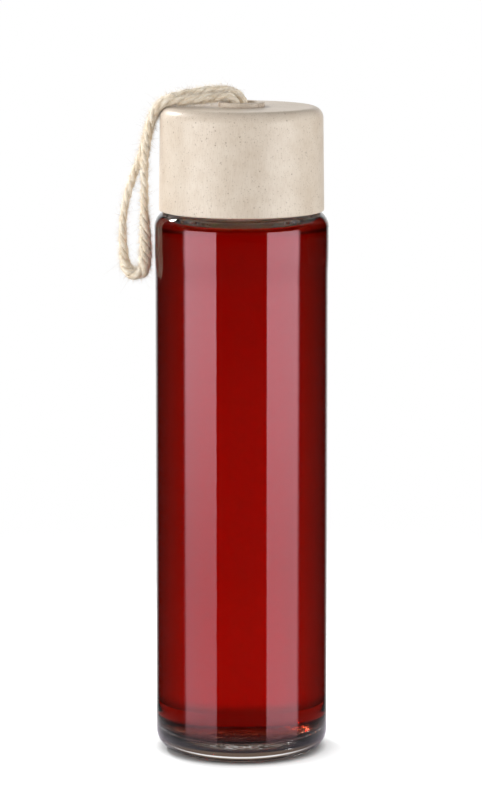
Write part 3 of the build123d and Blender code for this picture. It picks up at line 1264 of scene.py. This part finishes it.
@dataclass
class Cord:
    """The doubled cotton cord: three twisted strands of uneven thickness, loose fibres and the hidden knot.

    Its widths stand at shares of its length: full on the hump, slack and wide down the inner leg, thin on
    the outer one. A strand's skin is its radius as a share of the width. Each wander gives how far a
    strand swells and strays, over what length, and its lead on the strand before. Unsteady gives how far
    its turn runs ahead and behind, in radians, and over what length. A wrap of the knot is as thick as
    half its height. As shares of that, the knot's skin gives a wrap's mean radius and how far its lobes
    rise and sink, and the knot's core how much thinner than the ring of wraps the core is.
    """

    diameter: float = 3.0
    widths: tuple[Span, ...] = (
        (0.0, 2.9),
        (0.10, 3.7),
        (0.24, 3.2),
        (0.30, 2.9),
        (0.36, 2.9),
        (0.385, 3.7),
        (0.42, 4.5),
        (0.47, 4.6),
        (0.50, 4.4),
        (0.53, 3.4),
        (0.60, 2.7),
        (0.66, 2.7),
        (0.72, 3.2),
        (0.80, 3.8),
        (1.0, 3.0),
    )
    strands: int = 3
    lay: Lay = Lay.RIGHT
    lay_length: float = 11.5
    unsteady: Span = (0.35, 7.7)
    skin: float = 0.30
    wander: tuple[Triple, ...] = ((0.14, 5.3, 1.7), (0.10, 2.1, 4.1))
    swell: float = 0.6
    yarn_ridges: int = 6
    yarn_depth: float = 0.05
    yarn_pitch: float = 4.3
    strand_shift: float = 5.0
    step: float = 0.28
    sides: int = 18
    knot_wraps: int = 3
    knot_open: float = 0.02
    knot_points: int = 90
    knot_step: float = 0.3
    knot_inset: float = 0.3
    knot_core: float = 0.3
    knot_lobes: int = 3
    knot_lobe_pitch: float = 2.6
    knot_skin: Span = (0.93, 0.06)
    fuzz: Fibres = Fibres(
        "cord_fuzz",
        8500,
        least=0.6,
        greatest=2.8,
        thick=0.05,
        finish=Cotton("loose_cotton", pale=(0.97, 0.93, 0.86), tan=(0.84, 0.70, 0.50), relief=0.01),
    )
    # The stray hairs are coloured darker than the fuzz: partly darker husk fibres, and partly painted shade,
    # for hairs that look grey in shade against the white.
    hairs: Fibres = Fibres(
        "cord_hairs",
        900,
        least=1.4,
        greatest=4.0,
        thick=0.04,
        finish=Cotton("stray_cotton_with_painted_shade", pale=(0.74, 0.68, 0.62), tan=(0.34, 0.27, 0.22), relief=0.01),
    )
    seed: int = 7
    finish: Cotton = Cotton()

    def route(self) -> list[Triple]:
        """Lists the route's corners: out of the grommet, over the lid's edge, round the fold and back.

        Returns:
            The corners in millimetres, which are the control points of the cord's smooth line.
        """
        start = reach("cord_knot")[2]
        return [
            (-1.25, -1.5, start),
            (-1.25, -1.5, 237.9),
            (-9.8, -1.65, 237.3),
            (-18.0, -1.75, 236.1),
            (-26.9, -1.75, 236.2),
            (-30.5, -1.75, 233.2),
            (-33.3, -1.75, 226.0),
            (-34.8, -1.75, 214.0),
            (-34.8, -1.70, 199.5),
            (-34.4, -1.50, 184.0),
            (-34.5, -0.90, 173.9),
            (-41.4, 0.60, 173.9),
            (-42.8, 1.30, 184.0),
            (-42.3, 1.60, 198.0),
            (-38.8, 1.75, 209.0),
            (-34.9, 1.75, 218.6),
            (-33.3, 1.75, 226.0),
            (-30.5, 1.75, 233.2),
            (-26.9, 1.80, 236.2),
            (-19.6, 2.00, 238.2),
            (-11.2, 1.70, 239.7),
            (-3.6, 1.60, 239.6),
            (0.9, 1.40, 236.4),
            (0.75, 1.40, 232.9),
            (0.75, 1.40, start),
        ]

    def line(self) -> Track:
        """Reads the route's smooth line from a NURBS spline that has the corners as its control points.

        Returns:
            The line, with its points evenly spaced.
        """
        corners = self.route()
        curve = bpy.data.curves.new("cord_route", "CURVE")
        curve.dimensions = "3D"
        curve.resolution_u = 32
        spline = curve.splines.new("NURBS")
        spline.points.add(len(corners) - 1)
        for point, corner in zip(spline.points, corners):
            point.co = (*(MM * part for part in corner), 1.0)
        spline.order_u = 3
        spline.use_endpoint_u = True
        carrier = bpy.data.objects.new("cord_route", curve)
        bpy.context.scene.collection.objects.link(carrier)
        bpy.context.view_layer.update()
        mesh = bpy.data.meshes.new_from_object(carrier)
        places = np.zeros(len(mesh.vertices) * 3)
        mesh.vertices.foreach_get("co", places)
        bpy.data.objects.remove(carrier)
        bpy.data.meshes.remove(mesh)
        places = places.reshape(-1, 3) / MM
        fresh = np.concatenate([[True], np.linalg.norm(np.diff(places, axis=0), axis=1) > SAME_PLACE])
        return Track(places[fresh]).evenly(self.step)

    def thickness(self, line: Track) -> np.ndarray:
        """The cord's width at each point of its line."""
        shares, widths = zip(*self.widths)
        return np.interp(line.along / line.along[-1], shares, widths)

    def wind_strand(self, rope: Bundle, line: Track, index: int) -> None:
        """Winds one strand round the line.

        Its middle is at place + offset * (cos a, sin a) with a = 2 pi * along / lay, and its skin has shallow
        ridges that turn the other way.

        Args:
            rope: the tubes that it is added to.
            line: the cord's line.
            index: which strand it is.
        """
        along = line.along
        width = self.thickness(line)
        wander = sum(depth * np.sin(along / length + index * lead) for depth, length, lead in self.wander)
        skin = self.skin * width * (1.0 + self.swell * wander)
        offset = (0.5 * width - skin) * (1.0 + wander)
        ahead, length = self.unsteady
        turn = self.lay.value * TURN * (along / self.lay_length) + ahead * np.sin(along / length)
        middle = Track(line.beside(offset, turn + TURN * index / self.strands))
        around = TURN * np.arange(self.sides) / self.sides
        yarn_turn = self.lay.value * TURN * along[:, None] / self.yarn_pitch
        ridges = np.cos(self.yarn_ridges * around - yarn_turn)
        radius = skin[:, None] * (1.0 + self.yarn_depth * ridges)
        rope.add(middle, radius, along, self.strand_shift * index)

    def build_rope(self, line: Track, material: bpy.types.Material) -> bpy.types.Object:
        """Makes the strands as one piece.

        Args:
            line: the cord's line.
            material: the cord's material.

        Returns:
            The piece.
        """
        rope = Bundle()
        for index in range(self.strands):
            self.wind_strand(rope, line, index)
        piece = rope.piece("cotton_cord", material)
        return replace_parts(piece, "cord_loop")

    def build_knot(self, material: bpy.types.Material) -> bpy.types.Object:
        """Winds the knot: a rope of three lobes in even wraps, drawn tight round the cord's two ends.

        Args:
            material: the cord's material.

        Returns:
            The piece.
        """
        radius, low, high = reach("cord_knot")
        thick = (high - low) / (2.0 * self.knot_wraps)
        ring = radius - thick
        turns = np.linspace(0.0, self.knot_wraps - self.knot_open, self.knot_points * self.knot_wraps)
        climb = low + thick + (high - low - 2.0 * thick) * turns / turns[-1]
        helix = np.stack([ring * np.cos(TURN * turns), ring * np.sin(TURN * turns), climb], axis=-1)
        core = np.array([[0.0, 0.0, low + self.knot_inset], [HAIR, 0.0, high - self.knot_inset]])
        around = TURN * np.arange(self.sides) / self.sides
        least, depth = self.knot_skin
        knot = Bundle()
        for places, width in ((helix, thick), (core, ring - self.knot_core * thick)):
            track = Track(places).evenly(self.knot_step)
            lobes = np.cos(self.knot_lobes * around - TURN * track.along[:, None] / self.knot_lobe_pitch)
            knot.add(track, width * (least + depth * lobes), track.along)
        piece = knot.piece("cord_knot_wound", material)
        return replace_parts(piece, "cord_knot")

    def build(self) -> None:
        line = self.line()
        cotton = self.finish.material()
        rope = self.build_rope(line, cotton)
        fuzz, hairs = (kind.build(line, self.thickness(line), self.seed) for kind in (self.fuzz, self.hairs))
        knot = self.build_knot(cotton)
        tuple(line.places[0] * MM)
        (line.places * MM).tolist()
        LOG.info("cord %.1f mm long", line.along[-1])


# The studio


class Side(Enum):
    """Which side of the camera's line a softbox stands on."""

    LEFT = -1
    RIGHT = 1


def plain(name: str, places: np.ndarray, columns: int) -> tuple[bpy.types.Object, Paint]:
    """Makes a staged sheet and the empty tree of its material.

    Args:
        name: the sheet's name and its material's.
        places: a grid of points in millimetres, one a row.
        columns: how many columns the grid has.

    Returns:
        The sheet and the tree.
    """
    rows = len(places) // columns
    row, column = np.meshgrid(np.arange(rows - 1), np.arange(columns - 1), indexing="ij")
    start = (row * columns + column).ravel()
    mesh = bpy.data.meshes.new(name)
    faces = np.stack([start, start + 1, start + columns + 1, start + columns], axis=-1)
    mesh.from_pydata((places * MM).tolist(), [], faces.tolist())
    sheet = bpy.data.objects.new(name, mesh)
    bpy.context.scene.collection.objects.link(sheet)
    material, paint = new_material(name)
    mesh.materials.append(material)
    return sheet, paint


def curved_wall(radius: float, angles: np.ndarray, heights: Span) -> np.ndarray:
    """Points of an upright wall round the axis: x = r * sin(t), y = r * cos(t), a row of them at each height.

    Args:
        radius: its radius.
        angles: the angle of each column, in radians from +Y towards +X.
        heights: its lowest and highest height.

    Returns:
        The points in millimetres, one a row.
    """
    angle, height = np.meshgrid(angles, heights)
    return np.stack([radius * np.sin(angle), radius * np.cos(angle), height], axis=-1).reshape(-1, 3)


def show_only(sheet: bpy.types.Object, *rays: str) -> None:
    """Leaves a staged sheet visible to the named kinds of ray alone."""
    for kind in ("camera", "diffuse", "glossy", "transmission", "volume_scatter", "shadow"):
        setattr(sheet, f"visible_{kind}", kind in rays)


def point_at(thing: bpy.types.Object, place: Iterable[float], target: Iterable[float]) -> None:
    """Puts a lamp or a camera at a place and turns it towards a target.

    Args:
        thing: the lamp or camera.
        place: where it goes, in millimetres.
        target: what it faces, in millimetres.
    """
    start, end = Vector(place) * MM, Vector(target) * MM
    thing.location = start
    thing.rotation_euler = (end - start).to_track_quat("-Z", "Y").to_euler()


@dataclass(frozen=True)
class Lamp:
    """A round lamp that faces the lid.

    Args:
        name: its name.
        place: where it hangs.
        size: its diameter.
        power: its power, in watts.
        in_gloss: whether gloss shows it.
        through_glass: whether it shows through glass.
        target: the place that it faces.
    """

    name: str
    place: Triple
    size: float
    power: float
    in_gloss: bool = True
    through_glass: bool = True
    target: Triple = (0.0, 0.0, 220.0)

    def build(self) -> None:
        """Hangs the lamp, turned towards its target."""
        light = bpy.data.lights.new(self.name, "AREA")
        light.shape = "DISK"
        light.size = self.size * MM
        light.energy = self.power
        lamp = bpy.data.objects.new(self.name, light)
        bpy.context.scene.collection.objects.link(lamp)
        lamp.visible_camera = False
        lamp.visible_glossy = self.in_gloss
        lamp.visible_transmission = self.through_glass
        point_at(lamp, self.place, self.target)


@dataclass(frozen=True)
class Surroundings:
    """What lies beyond the set: white where it is seen directly, and staged light for glass and gloss.

    Heights are those of a direction of length one.

    Args:
        fill: the light that reaches matt surfaces from all sides.
        backlight: light behind glass, low down.
        backlight_top: light behind glass, at the level of the eye.
        backlight_above: light behind glass, from above.
        above_colour: colour of that light.
        steep: angles below the level, in degrees, between which the backlight grows to its full.
        level: angles above the level between which it sinks to what comes from above.
        mirrored: angles from +Y between which the backdrop that gloss mirrors grows to its full.
        inside_light: light that matt surfaces get through the glass, from below.
        inside_colour: its colour.
        inside_heights: heights between which it fades.
    """

    fill: float = 0.30
    backlight: float = 1.12
    backlight_top: float = 0.84
    backlight_above: float = 0.12
    above_colour: Colour = (1.0, 0.66, 0.42)
    steep: Span = (6.0, 10.5)
    level: Span = (7.0, 0.5)
    mirrored: Span = (32.0, 14.0)
    inside_light: float = 7.0
    inside_colour: Colour = (1.0, 0.52, 0.24)
    inside_heights: Span = (0.06, -0.06)

    def build(self) -> None:
        """Writes the world.

        A ray that goes through smooth glass counts as glossy too, so the mirrored share leaves those out.
        """
        world = bpy.data.worlds.new("studio")
        bpy.context.scene.world = world
        paint = Paint(world)
        direction = paint.node("ShaderNodeTexCoord", {}, {}).outputs["Generated"]
        behind, height = paint.part(direction, "Y"), paint.part(direction, "Z")
        backdrop = behind.between(*(math.cos(math.radians(angle)) for angle in self.mirrored))
        steep = height.between(*(-sine(angle) for angle in self.steep))
        level = height.between(*(sine(angle) for angle in self.level))
        top, above = self.backlight_top, self.backlight_above
        backlight = (steep * (self.backlight - top) + (top - above)) * level + above
        seen = paint.light_path("Is Camera Ray")
        through = paint.light_path("Is Transmission Ray")
        mirrored = paint.light_path("Is Glossy Ray") * (1.0 - through)
        strength = (
            seen * (1.0 - self.fill)
            + through * (backlight - self.fill)
            + mirrored * (backdrop - self.fill)
            + self.fill
        )
        inside = through * paint.from_matt()
        inside_light = inside * height.between(*self.inside_heights) * self.inside_light
        colour = paint.mixed(through * (1.0 - level), WHITE, self.above_colour)
        colour = paint.mixed(inside, colour, self.inside_colour)
        inputs = {"Color": colour, "Strength": strength * (1.0 - inside) + inside_light}
        paint.show(paint.node("ShaderNodeBackground", {}, inputs))


@dataclass(frozen=True)
class Floor:
    """A pale floor that fades into the white and keeps the object's shadow.

    Its glow shows to the camera, through glass and, close about the bottle, in gloss. It sinks with the share
    of open sky above each point. Through glass the floor has that glow alone, because a lit matt part would
    leave an edge where it fades out, and there it has a painted shadow close about the bottle, darker by
    radius alone, which stands for the shaded floor that thick glass shows.

    Args:
        reach: half its side, and the radius at which it has faded out.
        near: radius at which it begins to fade.
        height: its height, a hair under the bottle.
        albedo: how much light its matt part throws back.
        glow: how much it glows for the camera.
        glow_through: how much it glows through glass.
        dark: painted shadow, the share of the through-glass glow left close about the bottle.
        painted_shadow_reach: radii between which the painted shadow fades out, so that share rises to all of
            it.
        mirrored: colour in which gloss shows it.
        mirrored_reach: radii between which gloss stops showing it.
        shade_reach: how far away something has to be to leave the sky above it open.
        shade_range: shares of open sky between which its glow rises from nothing to all of it.
        inside_glow: how much it glows for what is lit through the glass.
        inside_colour: the colour of that.
    """

    reach: float = 420.0
    near: float = 170.0
    height: float = -0.02
    albedo: float = 0.4
    glow: float = 1.0
    glow_through: float = 1.25
    # painted shadow on the floor close about the bottle, seen through glass, and where it fades
    dark: float = 0.401
    painted_shadow_reach: Span = (40.0, 80.0)
    mirrored: Colour = (0.62, 0.54, 0.66)
    mirrored_reach: Span = (92.0, 36.0)
    shade_reach: float = 24.0
    shade_range: Span = (0.15, 0.9)
    inside_glow: float = 0.8
    inside_colour: Colour = (1.0, 0.52, 0.24)

    def build(self) -> None:
        """Lays the floor."""
        places = [[x, y, self.height] for y in (-self.reach, self.reach) for x in (-self.reach, self.reach)]
        sheet, paint = plain("floor", np.array(places), 2)
        place = paint.coordinates()
        radius = paint.signal("ShaderNodeVectorMath", "Value", {"operation": "LENGTH"}, {0: place})
        passed = paint.light_path("Is Transmission Ray")
        inside = passed * paint.from_matt()
        glossy = paint.light_path("Is Glossy Ray") * (1.0 - passed)
        mirrored = glossy * radius.past(*self.mirrored_reach)
        sky_inputs = {"Distance": self.shade_reach * MM}
        sky = paint.signal("ShaderNodeAmbientOcclusion", "AO", {"samples": 8}, sky_inputs)
        # painted shadow: through glass the glow is darker close about the bottle, by its radius alone
        painted_shadow_share = radius.past(*self.painted_shadow_reach) * (1.0 - self.dark) + self.dark
        seen = paint.light_path("Is Camera Ray") * self.glow
        through = (passed - inside) * painted_shadow_share * self.glow_through
        strength = (seen + through + mirrored) * sky.between(*self.shade_range) + inside * self.inside_glow
        colour = paint.mixed(mirrored, WHITE, self.mirrored)
        colour = paint.mixed(inside, colour, self.inside_colour)
        glow = paint.node("ShaderNodeEmission", {}, {"Color": colour, "Strength": strength})
        matt_colour = paint.mixed(passed, (self.albedo,) * 3, BLACK)
        matt = paint.node("ShaderNodeBsdfDiffuse", {}, {"Color": matt_colour})
        lit = paint.node("ShaderNodeAddShader", {}, {0: matt, 1: glow})
        away = radius.past(self.near, self.reach) * (1.0 - glossy) + (glossy - mirrored)
        clear = paint.node("ShaderNodeBsdfTransparent", {}, {})
        paint.show(paint.mixed_shader(away, lit, clear))
        show_only(sheet, "camera", "diffuse", "glossy", "transmission", "shadow")


@dataclass(frozen=True)
class Softbox:
    """A tall curved softbox beside the camera's line, brighter towards its top.

    Args:
        side: which side of the line it stands on.
        glow: its glow at its foot and at its top.
        distance: how far from the axis it stands.
        angles: where it begins and ends, in degrees from the camera's line.
        heights: its lowest and highest height.
        rise: heights between which its glow rises.
        side_fade: width of its soft sides, as a share of the distance.
        foot_fade: height of its soft foot.
        top_fade: height of its soft top.
        mirrored: colour in which smooth glass mirrors it.
        columns: how many columns its sheet has.
    """

    side: Side
    glow: Span
    distance: float = 900.0
    angles: Span = (32.5, 84.0)
    heights: Span = (-226.0, 430.0)
    rise: Span = (-150.0, 90.0)
    side_fade: float = 0.02
    foot_fade: float = 34.0
    top_fade: float = 8.0
    mirrored: Colour = (1.7, 0.96, 1.1)
    columns: int = 12

    def build(self) -> None:
        """Stands the softbox up."""
        angles = math.pi - np.radians(np.linspace(*self.angles, self.columns)) * self.side.value
        places = curved_wall(self.distance, angles, self.heights)
        sheet, paint = plain(f"softbox_{self.side.name.lower()}", places, self.columns)
        place = paint.coordinates()
        height = paint.part(place, "Z")
        beside = paint.part(place, "X") * (self.side.value / (self.distance * MM))
        near, far = (sine(angle) for angle in self.angles)
        foot, top = self.heights
        edges = (
            beside.between(near, near + self.side_fade)
            * beside.between(far, far - self.side_fade)
            * height.past(foot, foot + self.foot_fade)
            * height.past(top, top - self.top_fade)
        )
        low, high = self.glow
        strength = (height.past(*self.rise) * (high - low) + low) * edges
        in_glass = paint.light_path("Is Glossy Ray") * paint.light_path("Is Singular Ray")
        colour = paint.mixed(in_glass, WHITE, self.mirrored)
        paint.show(paint.node("ShaderNodeEmission", {}, {"Color": colour, "Strength": strength}))
        show_only(sheet, "diffuse", "glossy")


@dataclass(frozen=True)
class Louvre:
    """A round louvre close about the bottle, seen only through its glass.

    It passes what crosses it straight outwards and takes what crosses it aslant, so that the edges of the
    glass darken from whichever side the bottle is seen. It also takes a share of what leaves the glass at
    its foot.

    Args:
        radius: its radius.
        heights: its lowest and highest height.
        sides: how many flat sides it has.
        slants: slants between which it begins to take light and takes most.
        taken: the share that it takes at most.
        foot: heights between which it takes more, towards its foot.
        foot_taken: the share that it takes there.
    """

    radius: float = 48.0
    heights: Span = (0.5, 236.0)
    sides: int = 128
    slants: Span = (0.20, 0.75)
    taken: float = 0.92
    foot: Span = (7.5, 1.5)
    foot_taken: float = 0.22

    def build(self) -> None:
        """Stands the louvre up.

        A ray's slant is how far it runs along the louvre's level direction, which is the cross product of up
        and the place.
        """
        angles = TURN * np.arange(self.sides + 1) / self.sides
        sheet, paint = plain("louvre", curved_wall(self.radius, angles, self.heights), self.sides + 1)
        place = paint.coordinates()
        inputs = {0: (0.0, 0.0, 1.0), 1: place}
        crossed = paint.node("ShaderNodeVectorMath", {"operation": "CROSS_PRODUCT"}, inputs)
        level = paint.node("ShaderNodeVectorMath", {"operation": "NORMALIZE"}, {0: crossed})
        inputs = {"Blend": 0.5, "Normal": level}
        slant = 1.0 - paint.signal("ShaderNodeLayerWeight", "Facing", {}, inputs)
        foot = paint.part(place, "Z").past(*self.foot) * self.foot_taken
        passed = (1.0 - slant.between(*self.slants) * self.taken) * (1.0 - foot)
        clear = paint.node("ShaderNodeBsdfTransparent", {}, {})
        black = paint.node("ShaderNodeEmission", {}, {"Strength": 0.0})
        paint.show(paint.mixed_shader((1.0 - passed) * (1.0 - paint.from_matt()), clear, black))
        show_only(sheet, "transmission")


@dataclass
class Studio:
    """The set: surroundings, floor, two softboxes, louvre, lamps and the photograph's camera.

    Args:
        surroundings: what lies beyond the set.
        floor: what the bottle stands on.
        softboxes: the two tall lights that the glass mirrors.
        louvre: what darkens the edges of the glass.
        lamps: two small lamps behind on the left and a wide weak one on each side.
        eye: the camera's place.
        aim: what it faces.
        lens: its focal length.
        sensor: width of its sensor.
        bounces: how often light may bounce in all, through glass and in gloss.
    """

    surroundings: Surroundings = Surroundings()
    floor: Floor = Floor()
    softboxes: tuple[Softbox, ...] = (Softbox(Side.LEFT, (2.0, 4.2)), Softbox(Side.RIGHT, (2.5, 4.2)))
    louvre: Louvre = Louvre()
    lamps: tuple[Lamp, ...] = (
        Lamp("shoulder_lamp", (-560.0, 560.0, 690.0), 170.0, 3.6),
        Lamp("key_lamp", (-500.0, 830.0, 560.0), 70.0, 8.5, in_gloss=False),
        Lamp("left_lamp", (-880.0, -160.0, 430.0), 400.0, 4.0, in_gloss=False, through_glass=False),
        Lamp("right_lamp", (880.0, -120.0, 430.0), 400.0, 1.9, in_gloss=False, through_glass=False),
    )
    eye: Triple = (-0.22, -1398.0, 353.0)
    aim: Triple = (-0.22, 0.0, 127.9)
    lens: float = 176.6
    sensor: float = 36.0
    bounces: tuple[int, int, int] = (24, 24, 12)

    def camera(self) -> None:
        """Sets up the photograph's camera."""
        camera = bpy.data.cameras.new("camera")
        camera.lens = self.lens
        camera.sensor_width = self.sensor
        holder = bpy.data.objects.new("camera", camera)
        bpy.context.scene.collection.objects.link(holder)
        point_at(holder, self.eye, self.aim)
        bpy.context.scene.camera = holder

    def build(self) -> None:
        """Sets up the camera, the surroundings and the lights."""
        self.camera()
        for part in (self.surroundings, self.floor, *self.softboxes, self.louvre, *self.lamps):
            part.build()
        bpy.context.scene.view_settings.view_transform = "Standard"
        cycles = bpy.context.scene.cycles
        cycles.max_bounces, cycles.transmission_bounces, cycles.glossy_bounces = self.bounces


def main() -> None:
    """Builds the studio, the cord, the bottle and the lid."""
    logging.basicConfig(level=logging.INFO, format="%(name)s: %(message)s")
    for part in (Studio(), Cord(), Bottle(), Lid()):
        part.build()


if __name__ == "__main__":
    main()
